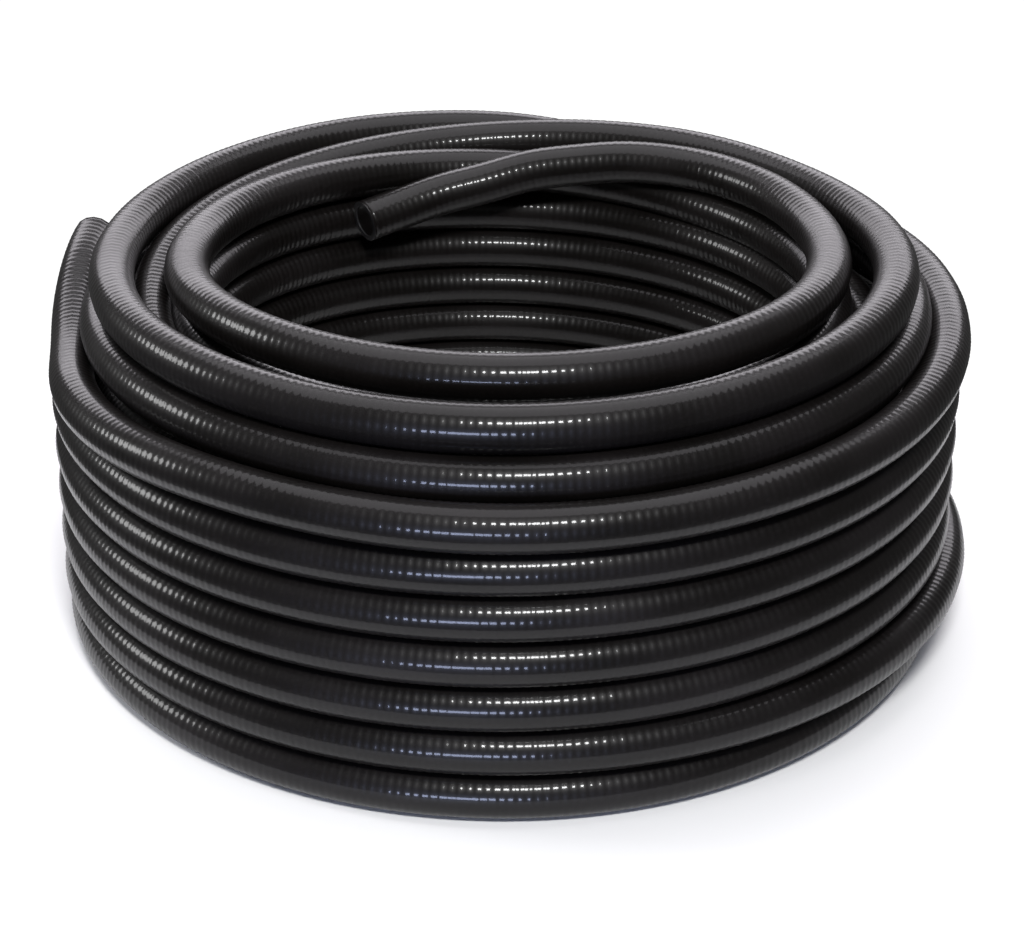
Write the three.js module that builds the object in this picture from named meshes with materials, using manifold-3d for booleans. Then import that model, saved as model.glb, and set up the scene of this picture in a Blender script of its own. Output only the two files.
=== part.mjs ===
// A flexible garden hose, wound as an upright coil that stands on its end.
// Millimetres, +Z up, coil axis on Z, origin on the floor under the coil's middle.
// The hose is one piece. Its wound turns are one turned solid with its bore, and the two
// free ends of the hose are tubes that leave it.
import * as THREE from "three";
import * as BufferGeometryUtils from "three/addons/utils/BufferGeometryUtils.js";
import Module from "manifold-3d";

// The hose
const hoseDiameter = 33;
const hoseWall = 4;
const fitGap = 0.3; // between the coil and a free end that lies against it

// The winding: four layers of turns side by side, with three more turns on top
const boreTurnRadius = 232; // centre of the hose in the layer round the bore
const layerPress = 5.7; // how far a layer sinks between the turns of the next one
const outerRows = 7;
const rowGap = 0.7; // between the turns of the outer layer
const topRowOverhang = 8.5; // the outer layer's top turn stands out past those below it
const innerRows = 9;
const innerPress = 1.2; // the turns round the bore are pressed together by this much
const lowerTopRows = 6.56; // height of the lower of the two top turns, in rows
const topTurnLean = 8.6; // the upper one leans inwards on it by this much
const contactWidth = 5.5; // the band that the coil's weight presses flat on the floor

// How the turns and the ends are drawn
const creviceDepth = 6; // how far out the crevice between two turns is filled
const arcStep = 36; // degrees between the points of one turn's outline
const coilSegments = 48;
const endSides = 12;
const innerEndSteps = 9;
const outerEndSteps = 4;

const hoseRadius = hoseDiameter / 2;
const layerStep = hoseDiameter - layerPress;
const rowPitch = hoseDiameter + rowGap;
const innerRowPitch = hoseDiameter - innerPress;
const thirdLayerRadius = boreTurnRadius + 2 * layerStep;
const outerTurnRadius = boreTurnRadius + 3 * layerStep;
const topRowRadius = outerTurnRadius + topRowOverhang;
const contactAngle = Math.asin(contactWidth / hoseDiameter);
const lowestHeight = hoseRadius * Math.cos(contactAngle);
const topRowHeight = lowestHeight + (outerRows - 1) * rowPitch;
const upperInnerHeight = lowestHeight + (innerRows - 1) * innerRowPitch;

// The free ends are cut square. Each place on a route is an angle in degrees round the
// coil, then how far the hose's centre is from the turn that it leaves, sideways away from
// it and up, both in hose diameters.
const innerEndRoute = [
  [56, 0.25, 0.04],
  [66, 0.53, 0.01],
  [75, 0.75, -0.11],
  [85, 0.89, -0.27],
  [96, 0.98, -0.57],
  [106, 1.0, -0.77],
  [117, 1.02, -1.0],
  [125, 1.01, -1.12],
];
const outerEndRoute = [
  [170, 0.16, 0.03],
  [164, 0.4, 0.26],
  [157, 0.8, 0.42],
];

const hoseMaterial = new THREE.MeshStandardMaterial({
  color: 0x0b0b0d,
  roughness: 0.3,
  metalness: 0,
});

const point = (radius, height) => new THREE.Vector2(radius, height);

// Centres of the turns on the outside of the winding, once round its section:
// outwards along the floor, up the outer wall, inwards over the top and down the bore.
function turnCentres() {
  const centres = [
    point(boreTurnRadius, lowestHeight),
    point(boreTurnRadius + layerStep, lowestHeight + rowPitch / 2),
    point(thirdLayerRadius, lowestHeight),
  ];
  for (let row = 0; row < outerRows - 1; row += 1) {
    centres.push(point(outerTurnRadius, lowestHeight + row * rowPitch));
  }
  const lowerTop = point(thirdLayerRadius, lowestHeight + lowerTopRows * rowPitch);
  const rise = Math.sqrt(hoseDiameter ** 2 - topTurnLean ** 2);
  centres.push(
    point(topRowRadius, topRowHeight),
    lowerTop,
    point(lowerTop.x - topTurnLean, lowerTop.y + rise),
  );
  for (let row = innerRows - 1; row > 0; row -= 1) {
    centres.push(point(boreTurnRadius, lowestHeight + row * innerRowPitch));
  }
  return centres;
}

// How far round from a neighbour's direction a turn's own arc starts: outside the filled
// crevice, and past the mid-plane where the two turns are pressed together
function creviceAngle(centre, neighbour) {
  const halfway = Math.min(1, centre.distanceTo(neighbour) / hoseDiameter);
  return Math.max(Math.asin(creviceDepth / hoseRadius), Math.acos(halfway));
}

// Points on an arc of a turn, between two angles
function arcPoints(centre, radius, start, end) {
  const steps = Math.max(1, Math.round(THREE.MathUtils.radToDeg(end - start) / arcStep));
  return Array.from({ length: steps + 1 }, (_, step) => {
    const angle = start + ((end - start) * step) / steps;
    return point(centre.x + radius * Math.cos(angle), centre.y + radius * Math.sin(angle));
  });
}

// The section's outline: an arc of every turn, joined across the crevices. The turns on
// the floor have a flat band between two arcs.
function sectionOutline(grow) {
  const centres = turnCentres();
  const radius = hoseRadius + grow;
  const straightDown = 1.5 * Math.PI;
  return centres.flatMap((centre, index) => {
    const before = centres.at(index - 1);
    const after = centres[(index + 1) % centres.length];
    const start = before.clone().sub(centre).angle() + creviceAngle(centre, before);
    let end = after.clone().sub(centre).angle() - creviceAngle(centre, after);
    while (end < start) {
      end += 2 * Math.PI;
    }
    if (centre.y > lowestHeight) {
      return arcPoints(centre, radius, start, end);
    }
    return [
      ...arcPoints(centre, radius, start, straightDown - contactAngle),
      ...arcPoints(centre, radius, straightDown + contactAngle, end),
    ];
  });
}

// The outline turned about the coil's axis, standing on the floor
function coilGeometry(grow = 0) {
  const outline = sectionOutline(grow);
  const geometry = new THREE.LatheGeometry([...outline, outline[0].clone()], coilSegments);
  geometry.rotateX(Math.PI / 2);
  return geometry;
}

// A route as points in space: away is -1 towards the coil's axis and 1 away from it
function routePoints(route, turnRadius, turnHeight, away) {
  return route.map(([degrees, sideways, up]) => {
    const angle = THREE.MathUtils.degToRad(degrees);
    const radius = turnRadius + away * sideways * hoseDiameter;
    const height = turnHeight + up * hoseDiameter;
    return new THREE.Vector3(radius * Math.cos(angle), radius * Math.sin(angle), height);
  });
}

// A free end: a round section with its bore, carried along its route
function endGeometry(points, steps) {
  const section = new THREE.Shape();
  section.absarc(0, 0, hoseRadius, 0, 2 * Math.PI, false);
  const bore = new THREE.Path();
  bore.absarc(0, 0, hoseRadius - hoseWall, 0, 2 * Math.PI, true);
  section.holes.push(bore);
  return new THREE.ExtrudeGeometry(section, {
    steps,
    curveSegments: endSides / 2,
    extrudePath: new THREE.CatmullRomCurve3(points),
  });
}

const wasm = await Module();
wasm.setup();

// A closed geometry as a solid that can be joined and cut
function solidOf(geometry) {
  const bare = geometry.clone();
  bare.deleteAttribute("normal");
  bare.deleteAttribute("uv");
  const merged = BufferGeometryUtils.mergeVertices(bare, 1e-4);
  const mesh = new wasm.Mesh({
    numProp: 3,
    vertProperties: new Float32Array(merged.attributes.position.array),
    triVerts: new Uint32Array(merged.index.array),
  });
  return new wasm.Manifold(mesh);
}

function geometryOf(solid) {
  const mesh = solid.getMesh();
  const geometry = new THREE.BufferGeometry();
  geometry.setAttribute("position", new THREE.BufferAttribute(new Float32Array(mesh.vertProperties), 3));
  geometry.setIndex(new THREE.BufferAttribute(new Uint32Array(mesh.triVerts), 1));
  return geometry;
}

function namedMesh(name, geometry) {
  const mesh = new THREE.Mesh(geometry, hoseMaterial);
  mesh.name = name;
  return mesh;
}

// A free end lies against the coil, so the coil and the gap to it are cut out of it.
const clearedCoil = solidOf(coilGeometry(fitGap));
function freeEnd(points, steps) {
  return geometryOf(solidOf(endGeometry(points, steps)).subtract(clearedCoil));
}

const innerEnd = routePoints(innerEndRoute, boreTurnRadius, upperInnerHeight, -1);
const outerEnd = routePoints(outerEndRoute, topRowRadius, topRowHeight, 1);

const hose = new THREE.Group();
hose.add(
  namedMesh("hose_coil", coilGeometry()),
  namedMesh("hose_inner_end", freeEnd(innerEnd, innerEndSteps)),
  namedMesh("hose_outer_end", freeEnd(outerEnd, outerEndSteps)),
);

export default hose;
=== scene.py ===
"""A flexible ribbed garden hose, wound as an upright coil.

The hose is one piece of glossy black PVC, 33 mm outside with a 25 mm bore. Its path is worked out
from stations round the winding: the cut outer end, the turns on top, down the second layer, up the
outer layer, down the third, up the layer round the bore, and out over the bore to the inner end.
The whole length is one hollow tube, and every stretch that shows carries its ribs as a skin.
"""

import logging
import math
from dataclasses import dataclass, field
from enum import Enum

import bpy
import numpy as np
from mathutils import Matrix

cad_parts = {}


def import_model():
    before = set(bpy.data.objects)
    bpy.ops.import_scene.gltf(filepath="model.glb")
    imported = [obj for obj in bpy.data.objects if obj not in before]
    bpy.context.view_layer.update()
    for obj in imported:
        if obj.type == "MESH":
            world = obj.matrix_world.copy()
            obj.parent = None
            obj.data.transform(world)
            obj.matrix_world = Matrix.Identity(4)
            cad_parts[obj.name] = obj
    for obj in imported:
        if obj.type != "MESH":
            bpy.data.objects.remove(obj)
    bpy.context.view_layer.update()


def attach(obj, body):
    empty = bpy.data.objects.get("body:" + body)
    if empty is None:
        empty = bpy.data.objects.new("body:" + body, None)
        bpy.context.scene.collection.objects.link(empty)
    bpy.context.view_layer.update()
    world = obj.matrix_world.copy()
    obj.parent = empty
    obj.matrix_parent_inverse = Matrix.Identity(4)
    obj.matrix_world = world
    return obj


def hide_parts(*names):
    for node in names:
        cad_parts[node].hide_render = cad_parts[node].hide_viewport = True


LOG = logging.getLogger("garden_hose")

HOSE_DIAMETER = 0.033
HOSE_BORE = 0.025
RIB_PITCH = 0.0057
RINGS_PER_RIB = 4

# Each point's place on the straightened hose: how far along it, and where across it
PLACE_ATTRIBUTE = "hose_place"

Station = tuple[float, float, float]


class Lay(Enum):
    """Which way a layer of turns climbs."""

    UP = 1
    DOWN = -1


# The winding


@dataclass(frozen=True)
class Layer:
    """A layer of turns, one above the other at one distance from the coil's axis.

    Its sizes are in hose diameters. A turn starts at the front, and climbed_by gives the share of
    its rise that it has made at the right, at the back and at the left.
    """

    start: float
    quarters: int
    radius: float
    height: float
    pitch: float
    lay: Lay
    off_centre: float = 0.0
    bulges: dict[int, float] = field(default_factory=dict)
    climbed_by: tuple[float, float, float] = (0.131, 0.5, 0.869)

    def stations(self) -> list[Station]:
        """Return the layer's stations, four a turn."""
        found = []
        for quarter in range(self.quarters + 1):
            angle = self.start + 90.0 * quarter
            radius = self.radius - self.off_centre * math.cos(math.radians(angle))
            radius = self.bulges.get(quarter, radius)
            turn, part = divmod(quarter, 4)
            climbed = turn + (0.0, *self.climbed_by)[part]
            found.append((angle, radius, self.height + self.lay.value * self.pitch * climbed))
        return found


@dataclass(frozen=True)
class Winding:
    """The path of the hose's centre, from its outer cut end to its inner one.

    A station is an angle in degrees that grows along the hose, a distance from the coil's axis and
    a height, both in hose diameters. Angle 0 is at the right, 90 at the back, 270 at the front.
    """

    diameter: float = HOSE_DIAMETER
    lying_height: float = 0.5

    outer_end_and_top: tuple[Station, ...] = (
        (157, 10.58, 7.05), (164, 10.23, 6.89), (172, 9.94, 6.59), (182, 9.68, 6.35),
        (200, 9.74, 6.36), (235, 9.68, 6.62), (270, 9.72, 6.61), (310, 9.67, 6.68),
        (345, 9.61, 6.76), (375, 9.71, 6.90), (405, 9.77, 6.88), (450, 9.61, 6.82),
        (500, 9.26, 6.89), (540, 8.98, 7.05), (585, 8.82, 7.20), (630, 8.82, 7.19),
        (675, 8.78, 7.24), (720, 8.76, 7.29), (760, 8.82, 7.24), (780, 8.88, 7.37),
        (795, 8.97, 7.57), (810, 9.07, 7.83), (830, 9.05, 8.00), (860, 8.90, 8.07),
        (900, 8.72, 8.08), (945, 8.57, 8.17), (990, 8.51, 8.15), (1035, 8.46, 8.20),
        (1080, 8.41, 8.22), (1115, 8.26, 8.10), (1140, 8.20, 8.11), (1155, 8.10, 8.07),
        (1170, 8.06, 7.98), (1205, 7.98, 7.80), (1240, 7.91, 7.58), (1275, 7.86, 7.20),
        (1310, 7.88, 6.90),
    )
    second_layer: Layer = Layer(1350, 16, 7.88, 6.75, 1.02, Lay.DOWN)
    under_to_the_outside: tuple[Station, ...] = (
        (2880, 7.88, 2.54), (2970, 7.88, 2.22), (3060, 7.88, 1.84), (3150, 7.88, 1.38),
        (3240, 7.90, 0.78), (3285, 8.00, 0.50), (3330, 8.45, 0.50), (3375, 9.20, 0.50),
        (3415, 9.53, 0.50), (3460, 9.56, 0.50),
    )
    outer_layer: Layer = Layer(3510, 20, 9.55, 0.5, 1.02, Lay.UP, 0.1, {1: 9.25, 5: 9.86})
    back_to_the_third_layer: tuple[Station, ...] = (
        (5400, 9.45, 5.70), (5450, 9.42, 5.86), (5490, 9.30, 5.96), (5535, 9.00, 6.02),
        (5580, 8.80, 6.06), (5620, 8.74, 6.10),
    )
    third_layer: Layer = Layer(5670, 16, 8.70, 6.08, 1.02, Lay.DOWN)
    under_to_the_bore: tuple[Station, ...] = (
        (7200, 8.72, 1.90), (7260, 8.72, 1.60), (7300, 8.60, 1.35), (7330, 8.35, 1.05),
        (7360, 7.95, 0.70), (7390, 7.55, 0.50), (7420, 7.20, 0.50), (7445, 7.05, 0.50),
    )
    bore_layer: Layer = Layer(7470, 28, 7.03, 0.5, 0.991, Lay.UP, climbed_by=(0.0, 0.13, 0.78))
    upper_turn_and_inner_end: tuple[Station, ...] = (
        (10080, 7.03, 7.34), (10125, 7.05, 7.30), (10170, 7.07, 7.58), (10215, 6.98, 7.93),
        (10260, 7.06, 8.16), (10305, 7.03, 8.47), (10350, 7.03, 8.54), (10395, 7.02, 8.50),
        (10430, 6.97, 8.34), (10455, 7.00, 8.27), (10475, 7.03, 8.26), (10490, 6.91, 8.25),
        (10506, 6.50, 8.21), (10515, 6.28, 8.09), (10525, 6.14, 7.93), (10536, 6.05, 7.63),
        (10546, 6.04, 7.43), (10557, 6.02, 7.20), (10565, 6.03, 7.08),
    )

    def stations(self) -> list[Station]:
        """Return every station in order along the hose."""
        return [
            *self.outer_end_and_top,
            *self.second_layer.stations(),
            *self.under_to_the_outside,
            *self.outer_layer.stations(),
            *self.back_to_the_third_layer,
            *self.third_layer.stations(),
            *self.under_to_the_bore,
            *self.bore_layer.stations(),
            *self.upper_turn_and_inner_end,
        ]

    def centreline(self, step: float = 1.0) -> tuple[np.ndarray, np.ndarray]:
        """Return the smooth path through the stations.

        Args:
            step: degrees from one point of the path to the next.

        Returns:
            The angle at each point, and the points themselves in metres.
        """
        stations = np.array(self.stations(), dtype=float)
        knots = stations[:, 0]
        spans = np.diff(knots)
        angles = np.arange(knots[0], knots[-1] + 1e-9, step)
        span = np.clip(np.searchsorted(knots, angles, side="right") - 1, 0, len(spans) - 1)
        part = (angles - knots[span]) / spans[span]
        columns = []
        for values in (stations[:, 1], stations[:, 2]):
            rises = np.diff(values) / spans
            slopes = np.empty_like(values)
            slopes[1:-1] = (rises[:-1] * spans[1:] + rises[1:] * spans[:-1]) / (spans[:-1] + spans[1:])
            slopes[0], slopes[-1] = rises[0], rises[-1]
            before, after = values[span], values[span + 1]
            columns.append(
                (2 * part**3 - 3 * part**2 + 1) * before
                + (part**3 - 2 * part**2 + part) * spans[span] * slopes[span]
                + (3 * part**2 - 2 * part**3) * after
                + (part**3 - part**2) * spans[span] * slopes[span + 1]
            )
        radius, height = columns[0], np.maximum(columns[1], self.lying_height)
        turn = np.radians(angles)
        points = np.stack([radius * np.cos(turn), radius * np.sin(turn), height], axis=1)
        return angles, points * self.diameter


@dataclass(frozen=True)
class HosePath:
    """The hose's centreline, measured along its length."""

    angles: np.ndarray
    points: np.ndarray

    @property
    def lengths(self) -> np.ndarray:
        """Return the distance along the hose at each point."""
        steps = np.linalg.norm(np.diff(self.points, axis=0), axis=1)
        return np.concatenate([[0.0], np.cumsum(steps)])

    @property
    def length(self) -> float:
        """Return the hose's whole length in metres."""
        return float(self.lengths[-1])

    def length_at(self, angle: float) -> float:
        """Return how far along the hose an angle of the winding is.

        Args:
            angle: the angle in degrees, as in the winding's stations.
        """
        return float(np.interp(angle, self.angles, self.lengths))

    def at(self, distances: np.ndarray) -> np.ndarray:
        """Return the points at some distances along the hose.

        Args:
            distances: how far along the hose each point is, in metres.
        """
        lengths = self.lengths
        return np.stack([np.interp(distances, lengths, self.points[:, axis]) for axis in range(3)], axis=1)


# Finishes


def group_socket(
    group: bpy.types.NodeTree, name: str, way: str, kind: str, default: object = None
) -> bpy.types.NodeTreeInterfaceSocket:
    """Add a named socket to a node group.

    Args:
        group: the node group.
        name: the socket's name.
        way: INPUT or OUTPUT.
        kind: the socket type, such as NodeSocketFloat.
        default: the value that an input starts with.

    Returns:
        The new interface socket.
    """
    socket = group.interface.new_socket(name, in_out=way, socket_type=kind)
    if default is not None:
        socket.default_value = default
    return socket


def maths(
    tree: bpy.types.NodeTree, operation: str, first: object, second: object = None, third: object = None
) -> bpy.types.NodeSocket:
    """Add a Math node and join its inputs.

    Args:
        tree: the node tree that takes the node.
        operation: the node's operation.
        first: a socket or a number.
        second: a socket, a number or nothing.
        third: a socket, a number or nothing.

    Returns:
        The node's output socket.
    """
    node = tree.nodes.new("ShaderNodeMath")
    node.operation = operation
    for place, value in enumerate((first, second, third)):
        if isinstance(value, bpy.types.NodeSocket):
            tree.links.new(value, node.inputs[place])
        elif value is not None:
            node.inputs[place].default_value = value
    return node.outputs[0]


def handled_surface_group() -> bpy.types.ShaderNodeTree:
    """Build the group that gives soft PVC its cloudy sheen, dust and scuffs.

    Returns:
        A shader node group. Its Place is a point on the straightened hose in metres. It puts out
        Colour, Roughness and Height.
    """
    group = bpy.data.node_groups.new("handled_pvc_surface", "ShaderNodeTree")
    group_socket(group, "Place", "INPUT", "NodeSocketVector")
    group_socket(group, "Colour", "INPUT", "NodeSocketColor", (0.01, 0.01, 0.012, 1.0))
    group_socket(group, "Dust colour", "INPUT", "NodeSocketColor", (0.05, 0.05, 0.055, 1.0))
    group_socket(group, "Dust", "INPUT", "NodeSocketFloat", 0.3)
    group_socket(group, "Smoothest", "INPUT", "NodeSocketFloat", 0.22)
    group_socket(group, "Roughest", "INPUT", "NodeSocketFloat", 0.4)
    group_socket(group, "Colour", "OUTPUT", "NodeSocketColor")
    group_socket(group, "Roughness", "OUTPUT", "NodeSocketFloat")
    group_socket(group, "Height", "OUTPUT", "NodeSocketFloat")
    nodes, links = group.nodes, group.links
    given = nodes.new("NodeGroupInput")
    result = nodes.new("NodeGroupOutput")

    clouds = nodes.new("ShaderNodeTexNoise")
    clouds.inputs["Scale"].default_value = 9.0
    clouds.inputs["Detail"].default_value = 3.0
    links.new(given.outputs["Place"], clouds.inputs["Vector"])
    specks = nodes.new("ShaderNodeTexNoise")
    specks.inputs["Scale"].default_value = 420.0
    specks.inputs["Detail"].default_value = 2.0
    links.new(given.outputs["Place"], specks.inputs["Vector"])

    patch = nodes.new("ShaderNodeMapRange")
    patch.inputs["From Min"].default_value = 0.42
    patch.inputs["From Max"].default_value = 0.72
    links.new(clouds.outputs["Fac"], patch.inputs["Value"])
    speck = nodes.new("ShaderNodeMapRange")
    speck.inputs["From Min"].default_value = 0.5
    speck.inputs["From Max"].default_value = 0.75
    links.new(specks.outputs["Fac"], speck.inputs["Value"])
    film = maths(group, "MULTIPLY_ADD", speck.outputs["Result"], 0.55, patch.outputs["Result"])
    film = maths(group, "MULTIPLY", film, given.outputs["Dust"])

    mix = nodes.new("ShaderNodeMix")
    mix.data_type = "RGBA"
    links.new(film, mix.inputs["Factor"])
    links.new(given.outputs["Colour"], mix.inputs[6])
    links.new(given.outputs["Dust colour"], mix.inputs[7])
    links.new(mix.outputs[2], result.inputs["Colour"])

    spread = maths(group, "SUBTRACT", given.outputs["Roughest"], given.outputs["Smoothest"])
    rough = maths(group, "MULTIPLY_ADD", patch.outputs["Result"], spread, given.outputs["Smoothest"])
    links.new(rough, result.inputs["Roughness"])
    links.new(specks.outputs["Fac"], result.inputs["Height"])
    return group


def rib_wave_group() -> bpy.types.ShaderNodeTree:
    """Build the group that draws the ribs as a height, for the turns under the others.

    Returns:
        A shader node group with the rib pitch as an input. It puts out Height, 0 in a groove and
        1 on a crest.
    """
    group = bpy.data.node_groups.new("rib_wave", "ShaderNodeTree")
    group_socket(group, "Place", "INPUT", "NodeSocketVector")
    group_socket(group, "Pitch", "INPUT", "NodeSocketFloat", RIB_PITCH)
    group_socket(group, "Height", "OUTPUT", "NodeSocketFloat")
    given = group.nodes.new("NodeGroupInput")
    result = group.nodes.new("NodeGroupOutput")
    apart = group.nodes.new("ShaderNodeSeparateXYZ")
    group.links.new(given.outputs["Place"], apart.inputs[0])
    phase = maths(group, "DIVIDE", apart.outputs["X"], given.outputs["Pitch"])
    wave = maths(group, "COSINE", maths(group, "MULTIPLY", phase, 2.0 * math.pi))
    group.links.new(maths(group, "MULTIPLY_ADD", wave, -0.5, 0.5), result.inputs["Height"])
    return group


@dataclass(frozen=True)
class PvcFinish:
    """Soft black PVC, glossy where it was moulded and dull where it was cut."""

    name: str
    colour: tuple[float, float, float, float] = (0.0042, 0.0035, 0.0032, 1.0)
    dust_colour: tuple[float, float, float, float] = (0.014, 0.0115, 0.012, 1.0)
    dust: float = 0.35
    smoothest: float = 0.38
    roughest: float = 0.5
    gloss: float = 0.16
    coat: float = 0.3
    coat_roughness: float = 0.1
    speckle: float = 0.00004
    rib_relief: float = 0.0

    def build(
        self, surface: bpy.types.ShaderNodeTree, ribs: bpy.types.ShaderNodeTree
    ) -> bpy.types.Material:
        """Make the material.

        Args:
            surface: the shared group for sheen, dust and scuffs.
            ribs: the shared group for ribs as a height.

        Returns:
            The finished material.
        """
        material = bpy.data.materials.new(self.name)
        material.use_nodes = True
        tree = material.node_tree
        nodes, links = tree.nodes, tree.links
        shader = nodes["Principled BSDF"]
        shader.inputs["IOR"].default_value = 1.5
        shader.inputs["Specular IOR Level"].default_value = self.gloss
        shader.inputs["Coat Weight"].default_value = self.coat
        shader.inputs["Coat Roughness"].default_value = self.coat_roughness
        place = nodes.new("ShaderNodeAttribute")
        place.attribute_name = PLACE_ATTRIBUTE
        skin = nodes.new("ShaderNodeGroup")
        skin.node_tree = surface
        links.new(place.outputs["Vector"], skin.inputs["Place"])
        skin.inputs["Colour"].default_value = self.colour
        skin.inputs["Dust colour"].default_value = self.dust_colour
        skin.inputs["Dust"].default_value = self.dust
        skin.inputs["Smoothest"].default_value = self.smoothest
        skin.inputs["Roughest"].default_value = self.roughest
        links.new(skin.outputs["Colour"], shader.inputs["Base Color"])
        links.new(skin.outputs["Roughness"], shader.inputs["Roughness"])
        bump = nodes.new("ShaderNodeBump")
        bump.inputs["Distance"].default_value = self.speckle
        bump.inputs["Strength"].default_value = 1.0
        links.new(skin.outputs["Height"], bump.inputs["Height"])
        last = bump
        if self.rib_relief > 0.0:
            wave = nodes.new("ShaderNodeGroup")
            wave.node_tree = ribs
            links.new(place.outputs["Vector"], wave.inputs["Place"])
            relief = nodes.new("ShaderNodeBump")
            relief.inputs["Distance"].default_value = self.rib_relief
            links.new(wave.outputs["Height"], relief.inputs["Height"])
            links.new(bump.outputs["Normal"], relief.inputs["Normal"])
            last = relief
        links.new(last.outputs["Normal"], shader.inputs["Normal"])
        return material


# The hose


def new_object(name: str, mesh: bpy.types.Mesh) -> bpy.types.Object:
    """Link a mesh into the scene at the origin.

    Args:
        name: the object's name.
        mesh: its mesh.

    Returns:
        The new object.
    """
    piece = bpy.data.objects.new(name, mesh)
    bpy.context.scene.collection.objects.link(piece)
    return piece


@dataclass(frozen=True)
class HoseTube:
    """The whole hose as one hollow tube, just inside its ribs where they are a skin."""

    path: HosePath
    skins: tuple[tuple[float, float], ...]
    diameter: float = HOSE_DIAMETER
    bore: float = HOSE_BORE
    ring_step: float = 0.022
    sides: int = 16
    under_skin: float = 0.0011
    lip: float = 0.0016
    lip_rounding: float = 0.0002
    mouth_depth: float = 0.22
    mouth_rings: int = 12
    tangent_reach: float = 0.002

    def ring_plan(self) -> list[tuple[float, float]]:
        """Return the rings from the inner wall at one end, round the outside, to the other's.

        Returns:
            For each ring, its distance along the hose and its radius.
        """
        length = self.path.length
        outside, inside = self.diameter / 2.0, self.bore / 2.0
        hidden = outside - self.under_skin
        lip_radius = outside - self.lip_rounding
        count = round((length - 2.0 * self.lip) / self.ring_step)
        between = np.linspace(self.lip, length - self.lip, count + 1)
        rings = [(float(at), hidden if self.has_skin(float(at)) else outside) for at in between]
        start = [(0.0, lip_radius), (self.lip * 0.75, lip_radius)]
        end = [(length - self.lip * 0.75, lip_radius), (length, lip_radius)]
        deep = np.linspace(0.0, self.mouth_depth, self.mouth_rings)
        mouth = [(float(at), inside) for at in deep]
        far_mouth = [(length - at, radius) for at, radius in mouth]
        return [*reversed(mouth), *start, *rings, *end, *far_mouth]

    def has_skin(self, distance: float) -> bool:
        """Return whether the ribbed skin covers a place.

        Args:
            distance: how far along the hose the place is.
        """
        return any(start + self.ring_step < distance < end - self.ring_step for start, end in self.skins) or (
            min(distance, self.path.length - distance) < 2.0 * self.ring_step
        )

    def build(self, finish: bpy.types.Material, cut: bpy.types.Material) -> bpy.types.Object:
        """Make the tube.

        Args:
            finish: the hose's own finish.
            cut: the finish of the two cut faces and the bore.

        Returns:
            The tube as a mesh object.
        """
        plan = self.ring_plan()
        distances = np.array([at for at, _ in plan])
        radii = np.array([radius for _, radius in plan])
        centres = self.path.at(distances)
        tangents = self.path.at(np.clip(distances + self.tangent_reach, 0.0, self.path.length))
        tangents -= self.path.at(np.clip(distances - self.tangent_reach, 0.0, self.path.length))
        tangents /= np.linalg.norm(tangents, axis=1)[:, None]
        sideways = np.cross(tangents, np.array([0.0, 0.0, 1.0]))
        sideways /= np.linalg.norm(sideways, axis=1)[:, None]
        upwards = np.cross(sideways, tangents)
        turn = np.arange(self.sides) * 2.0 * math.pi / self.sides
        across = radii[:, None] * np.cos(turn)[None, :]
        up = radii[:, None] * np.sin(turn)[None, :]
        ring = centres[:, None] + across[:, :, None] * sideways[:, None] + up[:, :, None] * upwards[:, None]
        places = np.stack([np.broadcast_to(distances[:, None], across.shape), across, up], axis=2)

        rings = len(plan)
        first_cap, last_cap = rings * self.sides, rings * self.sides + 1
        vertices = [*ring.reshape(-1, 3).tolist(), centres[0].tolist(), centres[-1].tolist()]
        place = np.concatenate([places.reshape(-1, 3), [[distances[0], 0, 0], [distances[-1], 0, 0]]])
        faces = []
        for index in range(rings - 1):
            for side in range(self.sides):
                after = (side + 1) % self.sides
                here, there = index * self.sides, (index + 1) * self.sides
                faces.append((here + side, there + side, there + after, here + after))
        for side in range(self.sides):
            after = (side + 1) % self.sides
            faces.append((first_cap, side, after))
            last = (rings - 1) * self.sides
            faces.append((last_cap, last + after, last + side))
        mesh = bpy.data.meshes.new("hose")
        mesh.from_pydata(vertices, [], faces)
        mesh.attributes.new(PLACE_ATTRIBUTE, "FLOAT_VECTOR", "POINT").data.foreach_set(
            "vector", place.astype(np.float32).ravel()
        )
        for polygon in mesh.polygons:
            row = polygon.index // self.sides
            cut_face = row in (self.mouth_rings - 1, rings - 1 - self.mouth_rings)
            mouth = row < self.mouth_rings or row >= rings - 1 - self.mouth_rings
            polygon.material_index = 1 if mouth else 0
            polygon.use_smooth = not cut_face
        mesh.materials.append(finish)
        mesh.materials.append(cut)
        mesh.validate()
        mesh.update()
        self.sharpen_lips(mesh, rings)
        return new_object("hose", mesh)

    def sharpen_lips(self, mesh: bpy.types.Mesh, rings: int) -> None:
        """Mark the edges of both cut faces sharp.

        Args:
            mesh: the tube's mesh.
            rings: how many rings it has.
        """
        mouth = self.mouth_rings
        sharp_rows = {mouth - 1, mouth, rings - mouth - 1, rings - mouth}
        sharp = np.zeros(len(mesh.edges), dtype=bool)
        for edge in mesh.edges:
            first, second = (vertex // self.sides for vertex in edge.vertices)
            sharp[edge.index] = first == second and first in sharp_rows
        mesh.attributes.new("sharp_edge", "BOOLEAN", "EDGE").data.foreach_set("value", sharp)


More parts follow.
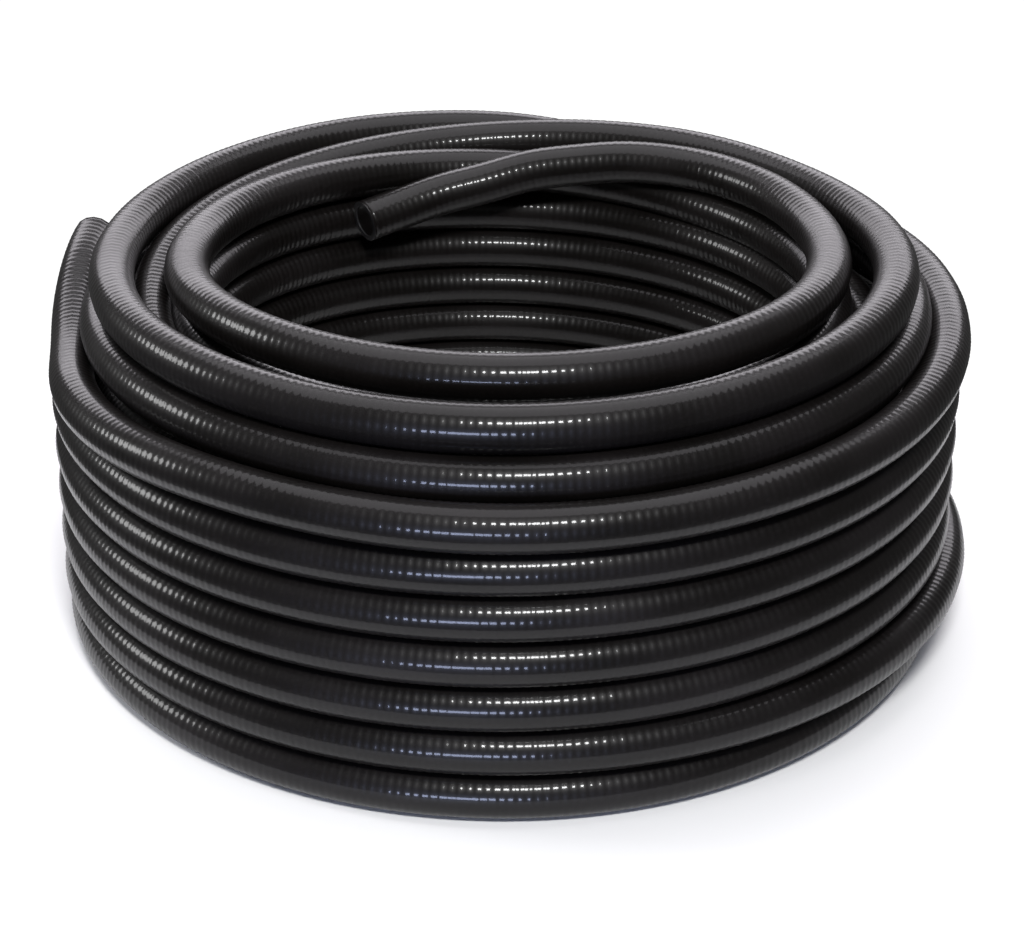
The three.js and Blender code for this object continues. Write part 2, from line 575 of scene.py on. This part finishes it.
@dataclass(frozen=True)
class RibbedSkin:
    """The ribs on one stretch of the hose, swept along it with Geometry Nodes."""

    name: str
    path: HosePath
    start: float
    ribs: int
    diameter: float = HOSE_DIAMETER
    pitch: float = RIB_PITCH
    relief: float = 0.00028
    alternate: float = 0.22
    fullness: float = 2.3
    sides: int = 16
    tucked_in: float = 0.0016
    guide_step: float = 0.0095

    @property
    def span(self) -> tuple[float, float]:
        """Return where the stretch starts and ends along the hose."""
        return self.start, self.start + self.ribs * self.pitch

    def guide(self) -> bpy.types.Object:
        """Return the stretch's path as a poly curve object."""
        start, end = self.span
        count = max(2, round((end - start) / self.guide_step))
        points = self.path.at(np.linspace(start, end, count + 1))
        curve = bpy.data.curves.new(self.name, "CURVE")
        curve.dimensions = "3D"
        spline = curve.splines.new("POLY")
        spline.points.add(len(points) - 1)
        spline.points.foreach_set("co", np.column_stack([points, np.ones(len(points))]).ravel())
        piece = bpy.data.objects.new(self.name, curve)
        bpy.context.scene.collection.objects.link(piece)
        return piece

    def build(self, tree: bpy.types.GeometryNodeTree, finish: bpy.types.Material) -> bpy.types.Object:
        """Sweep the ribs along the stretch.

        Args:
            tree: the shared rib tree.
            finish: the hose's finish.

        Returns:
            The ribs as a plain mesh object.
        """
        guide = self.guide()
        modifier = guide.modifiers.new("ribs", "NODES")
        modifier.node_group = tree
        values = {
            "Rings": self.ribs * RINGS_PER_RIB + 1,
            "Radius": self.diameter / 2.0,
            "Relief": self.relief,
            "Alternate": self.alternate,
            "Fullness": self.fullness,
            "Tucked in": self.tucked_in,
            "Start": self.span[0],
            "Sides": self.sides,
            "Finish": finish,
        }
        for item in tree.interface.items_tree:
            if item.item_type == "SOCKET" and item.in_out == "INPUT" and item.name in values:
                modifier[item.identifier] = values[item.name]
        depsgraph = bpy.context.evaluated_depsgraph_get()
        mesh = bpy.data.meshes.new_from_object(guide.evaluated_get(depsgraph), depsgraph=depsgraph)
        guide.modifiers.clear()
        bpy.data.objects.remove(guide)
        mesh.name = self.name
        return new_object(self.name, mesh)


def rib_tree() -> bpy.types.GeometryNodeTree:
    """Build the Geometry Nodes tree that sweeps a ribbed tube along a curve.

    Returns:
        The tree. Four rings make a rib: groove, shoulder, crest and shoulder. Every second rib is
        lower by the share in Alternate.
    """
    tree = bpy.data.node_groups.new("ribs_along_hose", "GeometryNodeTree")
    group_socket(tree, "Geometry", "INPUT", "NodeSocketGeometry")
    group_socket(tree, "Rings", "INPUT", "NodeSocketInt", 41)
    group_socket(tree, "Radius", "INPUT", "NodeSocketFloat", HOSE_DIAMETER / 2.0)
    group_socket(tree, "Relief", "INPUT", "NodeSocketFloat", 0.0005)
    group_socket(tree, "Alternate", "INPUT", "NodeSocketFloat", 0.2)
    group_socket(tree, "Fullness", "INPUT", "NodeSocketFloat", 2.3)
    group_socket(tree, "Tucked in", "INPUT", "NodeSocketFloat", 0.0015)
    group_socket(tree, "Start", "INPUT", "NodeSocketFloat", 0.0)
    group_socket(tree, "Sides", "INPUT", "NodeSocketInt", 16)
    group_socket(tree, "Finish", "INPUT", "NodeSocketMaterial")
    group_socket(tree, "Geometry", "OUTPUT", "NodeSocketGeometry")
    nodes, links = tree.nodes, tree.links
    given = nodes.new("NodeGroupInput")
    result = nodes.new("NodeGroupOutput")

    spaced = nodes.new("GeometryNodeResampleCurve")
    spaced.mode = "COUNT"
    links.new(given.outputs["Geometry"], spaced.inputs["Curve"])
    links.new(given.outputs["Rings"], spaced.inputs["Count"])
    upright = nodes.new("GeometryNodeSetCurveNormal")
    upright.mode = "Z_UP"
    links.new(spaced.outputs["Curve"], upright.inputs["Curve"])

    index = nodes.new("GeometryNodeInputIndex").outputs[0]
    wave = maths(tree, "COSINE", maths(tree, "MULTIPLY", index, math.tau / RINGS_PER_RIB))
    hollow = maths(tree, "POWER", maths(tree, "MULTIPLY_ADD", wave, 0.5, 0.5), given.outputs["Fullness"])
    height = maths(tree, "SUBTRACT", 1.0, hollow)
    from_crest = maths(tree, "SUBTRACT", index, RINGS_PER_RIB / 2.0)
    slow = maths(tree, "COSINE", maths(tree, "MULTIPLY", from_crest, math.pi / RINGS_PER_RIB))
    lower = maths(tree, "MULTIPLY_ADD", slow, -0.5, 0.5)
    scale = maths(tree, "SUBTRACT", 1.0, maths(tree, "MULTIPLY", lower, given.outputs["Alternate"]))
    below = maths(tree, "SUBTRACT", 1.0, maths(tree, "MULTIPLY", height, scale))
    depth = maths(tree, "MULTIPLY", below, given.outputs["Relief"])
    radius = maths(tree, "SUBTRACT", given.outputs["Radius"], depth)
    last = maths(tree, "SUBTRACT", given.outputs["Rings"], 1.5)
    is_first = maths(tree, "LESS_THAN", index, 0.5)
    at_an_end = maths(tree, "MAXIMUM", is_first, maths(tree, "GREATER_THAN", index, last))
    radius = maths(tree, "SUBTRACT", radius, maths(tree, "MULTIPLY", at_an_end, given.outputs["Tucked in"]))
    thickness = nodes.new("GeometryNodeSetCurveRadius")
    links.new(upright.outputs["Curve"], thickness.inputs["Curve"])
    links.new(radius, thickness.inputs["Radius"])

    along = nodes.new("GeometryNodeSplineParameter").outputs["Length"]
    along = maths(tree, "ADD", along, given.outputs["Start"])
    keep_length = nodes.new("GeometryNodeCaptureAttribute")
    keep_length.capture_items.new("FLOAT", "Along")
    links.new(thickness.outputs["Curve"], keep_length.inputs["Geometry"])
    links.new(along, keep_length.inputs[1])

    circle = nodes.new("GeometryNodeCurvePrimitiveCircle")
    links.new(given.outputs["Sides"], circle.inputs["Resolution"])
    circle.inputs["Radius"].default_value = 1.0
    keep_side = nodes.new("GeometryNodeCaptureAttribute")
    keep_side.capture_items.new("VECTOR", "Side")
    links.new(circle.outputs["Curve"], keep_side.inputs["Geometry"])
    links.new(nodes.new("GeometryNodeInputPosition").outputs[0], keep_side.inputs[1])

    sweep = nodes.new("GeometryNodeCurveToMesh")
    links.new(keep_length.outputs["Geometry"], sweep.inputs["Curve"])
    links.new(keep_side.outputs["Geometry"], sweep.inputs["Profile Curve"])
    sweep.inputs["Fill Caps"].default_value = True
    if "Scale" in sweep.inputs:
        links.new(radius, sweep.inputs["Scale"])

    side = nodes.new("ShaderNodeSeparateXYZ")
    links.new(keep_side.outputs[1], side.inputs[0])
    place = nodes.new("ShaderNodeCombineXYZ")
    links.new(keep_length.outputs[1], place.inputs["X"])
    links.new(maths(tree, "MULTIPLY", side.outputs["X"], given.outputs["Radius"]), place.inputs["Y"])
    links.new(maths(tree, "MULTIPLY", side.outputs["Y"], given.outputs["Radius"]), place.inputs["Z"])
    store = nodes.new("GeometryNodeStoreNamedAttribute")
    store.data_type = "FLOAT_VECTOR"
    store.domain = "POINT"
    store.inputs["Name"].default_value = PLACE_ATTRIBUTE
    links.new(sweep.outputs["Mesh"], store.inputs["Geometry"])
    links.new(place.outputs["Vector"], store.inputs["Value"])

    smooth = nodes.new("GeometryNodeSetShadeSmooth")
    links.new(store.outputs["Geometry"], smooth.inputs["Geometry"])
    whole = nodes.new("GeometryNodeRealizeInstances")
    links.new(smooth.outputs["Geometry"], whole.inputs["Geometry"])
    dressed = nodes.new("GeometryNodeSetMaterial")
    links.new(whole.outputs["Geometry"], dressed.inputs["Geometry"])
    links.new(given.outputs["Finish"], dressed.inputs["Material"])
    links.new(dressed.outputs["Geometry"], result.inputs["Geometry"])
    return tree


@dataclass(frozen=True)
class GardenHose:
    """The wound hose: its tube, and the ribbed skins on the stretches that show."""

    winding: Winding = Winding()
    # Each stretch that shows, as angles along the winding, and how many skins it is split in
    shown: tuple[tuple[str, float, float, int], ...] = (
        ("hose_ribs_top", 157.0, 1710.0, 1),
        ("hose_ribs_outer", 3330.0, 5560.0, 2),
        ("hose_ribs_bore", 7330.0, 10565.0, 2),
    )
    bare_end: float = 0.0009

    def skins(self, path: HosePath) -> list[RibbedSkin]:
        """Return the ribbed skins, each a whole number of ribs long.

        Args:
            path: the hose's centreline.
        """
        found = []
        for name, first_angle, last_angle, pieces in self.shown:
            first = max(path.length_at(first_angle), self.bare_end)
            last = min(path.length_at(last_angle), path.length - self.bare_end)
            ribs = math.floor((last - first) / RIB_PITCH)
            if last_angle == path.angles[-1]:
                first = last - ribs * RIB_PITCH
            marks = [round(ribs * piece / pieces) for piece in range(pieces + 1)]
            for number, (mark, after) in enumerate(zip(marks, marks[1:], strict=False), start=1):
                label = name if pieces == 1 else f"{name}_{number}"
                found.append(RibbedSkin(label, path, first + mark * RIB_PITCH, after - mark))
        return found

    def build(self) -> list[bpy.types.Object]:
        """Returns:
            The tube first, then its skins.
        """
        path = HosePath(*self.winding.centreline())
        surface, ribs = handled_surface_group(), rib_wave_group()
        ribbed = PvcFinish("hose_pvc_ribbed").build(surface, ribs)
        plain = PvcFinish("hose_pvc_tube", rib_relief=0.0004).build(surface, ribs)
        cut = PvcFinish("hose_pvc_cut", colour=(0.02, 0.02, 0.022, 1.0), smoothest=0.45, roughest=0.6).build(
            surface, ribs
        )
        skins = self.skins(path)
        tube_form = HoseTube(path, tuple(skin.span for skin in skins))
        tube = tube_form.build(plain, cut)
        tree = rib_tree()
        covers = [skin.build(tree, ribbed) for skin in skins]
        for cover in covers:
            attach(cover, "root")
            LOG.info("%s: %d faces", cover.name, len(cover.data.polygons))
        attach(tube, "root")
        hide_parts("hose_coil", "hose_inner_end", "hose_outer_end")
        outside = [at for at, radius in tube_form.ring_plan() if radius > tube_form.bore / 2.0 + 0.0001]
        centres = path.at(np.array(outside))
        round(path.length, 3)
        LOG.info("hose: %.2f m along its centre, %d faces", path.length, len(tube.data.polygons))
        return [tube, *covers]


# The setting


@dataclass(frozen=True)
class PhotoCamera:
    """The camera at the photograph's angle: in front, and looking down on the coil."""

    sensor_width: float = 36.0
    tilt: float = 26.15
    distance: float = 62.0 * HOSE_DIAMETER
    aim_height: float = 3.8 * HOSE_DIAMETER
    focal_pixels: float = 2734.0
    centre_pixel: tuple[float, float] = (510.0, 436.8)
    frame_pixels: tuple[float, float] = (1024.0, 944.0)

    def build(self) -> bpy.types.Object:
        """Make the camera and look through it."""
        data = bpy.data.cameras.new("camera")
        data.sensor_fit = "HORIZONTAL"
        data.sensor_width = self.sensor_width
        width, height = self.frame_pixels
        data.lens = self.sensor_width * self.focal_pixels / width
        data.shift_x = (width / 2.0 - self.centre_pixel[0]) / width
        data.shift_y = (self.centre_pixel[1] - height / 2.0) / width
        tilt = math.radians(self.tilt)
        camera = bpy.data.objects.new("camera", data)
        camera.location = (
            0.0,
            -self.distance * math.cos(tilt),
            self.aim_height + self.distance * math.sin(tilt),
        )
        camera.rotation_euler = (math.pi / 2.0 - tilt, 0.0, 0.0)
        bpy.context.scene.collection.objects.link(camera)
        bpy.context.scene.camera = camera
        return camera


@dataclass(frozen=True)
class SoftLamp:
    """A rectangular studio lamp that looks at the coil."""

    name: str
    place: tuple[float, float, float]
    aim: tuple[float, float, float]
    size: tuple[float, float]
    power: float
    colour: tuple[float, float, float] = (1.0, 1.0, 1.0)

    def build(self) -> bpy.types.Object:
        """Make the lamp."""
        data = bpy.data.lights.new(self.name, "AREA")
        data.shape = "RECTANGLE"
        data.size, data.size_y = self.size
        data.energy = self.power
        data.color = self.colour
        lamp = bpy.data.objects.new(self.name, data)
        back = np.array(self.place) - np.array(self.aim)
        distance = float(np.linalg.norm(back))
        heading = math.atan2(back[0], -back[1])
        lean = math.acos(back[2] / distance)
        lamp.rotation_euler = (lean, 0.0, heading)
        lamp.location = self.place
        bpy.context.scene.collection.objects.link(lamp)
        return lamp


@dataclass(frozen=True)
class Studio:
    """The pale round floor, the white surroundings and the lamps.

    The floor is small and the room is dim, so that only the foot of each row has a pale reflection.
    The camera alone sees the surroundings white.
    """

    floor_radius: float = 0.56
    floor_sides: int = 96
    floor_colour: tuple[float, float, float, float] = (0.93, 0.93, 0.93, 1.0)
    floor_roughness: float = 0.9
    dimness: float = 0.11
    backdrop: float = 1.1
    lamps: tuple[SoftLamp, ...] = (
        SoftLamp("overhead", (0.0, 0.5, 2.3), (0.0, 0.1, 0.0), (3.0, 2.2), 46.0, (0.98, 0.955, 1.0)),
        SoftLamp("backdrop", (0.0, 2.6, 1.3), (0.0, 0.0, 0.2), (4.4, 1.2), 62.0, (0.98, 0.94, 1.0)),
        SoftLamp("front_key", (0.2, -1.9, 2.2), (0.0, 0.0, 0.1), (0.62, 0.36), 62.0),
        SoftLamp("front_low", (-0.4, -2.3, 0.25), (0.0, 0.0, 0.12), (0.8, 0.34), 26.0, (0.62, 0.7, 1.0)),
        SoftLamp("left_box", (-2.2, 0.25, 1.0), (0.0, 0.0, 0.1), (0.7, 0.6), 19.0),
    )

    def build(self) -> None:
        """Make the setting: the floor, the surroundings and the lamps."""
        mesh = bpy.data.meshes.new("studio_floor")
        turns = np.linspace(0.0, math.tau, self.floor_sides, endpoint=False)
        across, up = self.floor_radius * np.cos(turns), self.floor_radius * np.sin(turns)
        rim = np.column_stack([across, up, np.zeros(self.floor_sides)])
        mesh.from_pydata(rim.tolist(), [], [tuple(range(self.floor_sides))])
        material = bpy.data.materials.new("studio_floor")
        material.use_nodes = True
        shader = material.node_tree.nodes["Principled BSDF"]
        shader.inputs["Base Color"].default_value = self.floor_colour
        shader.inputs["Roughness"].default_value = self.floor_roughness
        shader.inputs["Specular IOR Level"].default_value = 0.0
        mesh.materials.append(material)
        new_object("studio_floor", mesh)
        world = bpy.data.worlds.new("studio")
        world.use_nodes = True
        background = world.node_tree.nodes["Background"]
        background.inputs["Color"].default_value = (1.0, 1.0, 1.0, 1.0)
        light_path = world.node_tree.nodes.new("ShaderNodeLightPath")
        strength = maths(
            world.node_tree,
            "MULTIPLY_ADD",
            light_path.outputs["Is Camera Ray"],
            self.backdrop - self.dimness,
            self.dimness,
        )
        world.node_tree.links.new(strength, background.inputs["Strength"])
        bpy.context.scene.world = world
        bpy.context.scene.view_settings.view_transform = "Standard"
        for lamp in self.lamps:
            lamp.build()


def main() -> None:
    """Load the frame, build the camera, the hose and the studio."""
    logging.basicConfig(level=logging.INFO)
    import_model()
    PhotoCamera().build()
    GardenHose().build()
    Studio().build()


if __name__ == "__main__":
    main()
